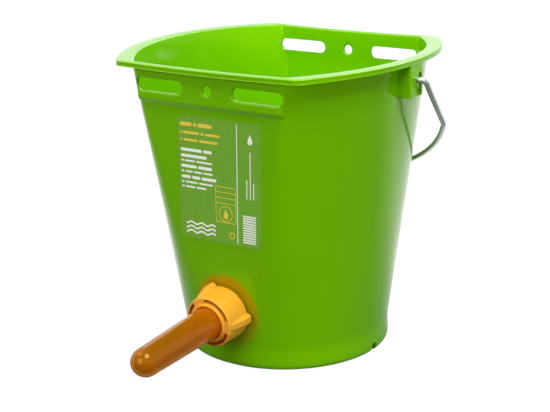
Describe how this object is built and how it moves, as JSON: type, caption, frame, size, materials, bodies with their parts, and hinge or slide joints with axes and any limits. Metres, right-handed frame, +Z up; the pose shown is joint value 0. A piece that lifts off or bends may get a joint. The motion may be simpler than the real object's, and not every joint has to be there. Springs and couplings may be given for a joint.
{
  "type": "calf feeder bucket",
  "caption": "Green plastic feeding bucket with flat hanging panels, a wire bail and a screwed-on rubber teat over a flap valve, for hand-rearing calves.",
  "frame": {"origin": "on the ground, under the middle of the round base", "axes": "+Z up, the teat points to -Y, the bail's pivots lie on a line along X, the bail hangs at +Y"},
  "size_m": [0.29, 0.3402, 0.2727],
  "materials": {
    "green_plastic": "gloss",
    "galvanised_wire": "satin",
    "orange_plastic": "satin",
    "amber_rubber": "satin",
    "label_film": "gloss",
    "white_plastic": "satin",
    "black_rubber": "matt",
    "pin_steel": "satin"
  },
  "bodies": {
    "bucket": {"bucket_shell": "green_plastic", "label": "label_film", "valve_body": "orange_plastic", "wall_seal": "black_rubber", "flap_seat": "white_plastic", "flap_pin": "pin_steel"},
    "bail": {"bail_handle": "galvanised_wire"},
    "teat": {"teat": "amber_rubber"},
    "nut": {"union_nut": "orange_plastic"},
    "flap": {"flap": "white_plastic"}
  },
  "joints": [
    {"name": "bail_swing", "type": "hinge", "parent": "bucket", "child": "bail", "pos_m": [0, 0, 0.255], "axis": [1, 0, 0], "range_deg": [0, 269]},
    {"name": "teat_slide", "type": "slide", "parent": "bucket", "child": "teat", "axis": [0, -0.9962, -0.0867], "range_m": [0, 0.0125]},
    {"name": "nut_turn", "type": "hinge", "parent": "teat", "child": "nut", "pos_m": [0, -0.09558, 0.0526], "axis": [0, -0.9962, -0.0867], "range_deg": [0, 900]},
    {"name": "flap_swing", "type": "hinge", "parent": "bucket", "child": "flap", "pos_m": [0, -0.09761, 0.06447], "axis": [-1, 0, 0], "range_deg": [0, 50]}
  ],
  "couplings": [
    {"joint": "teat_slide", "follows": "nut_turn", "m_per_rad": 0.00079577}
  ]
}
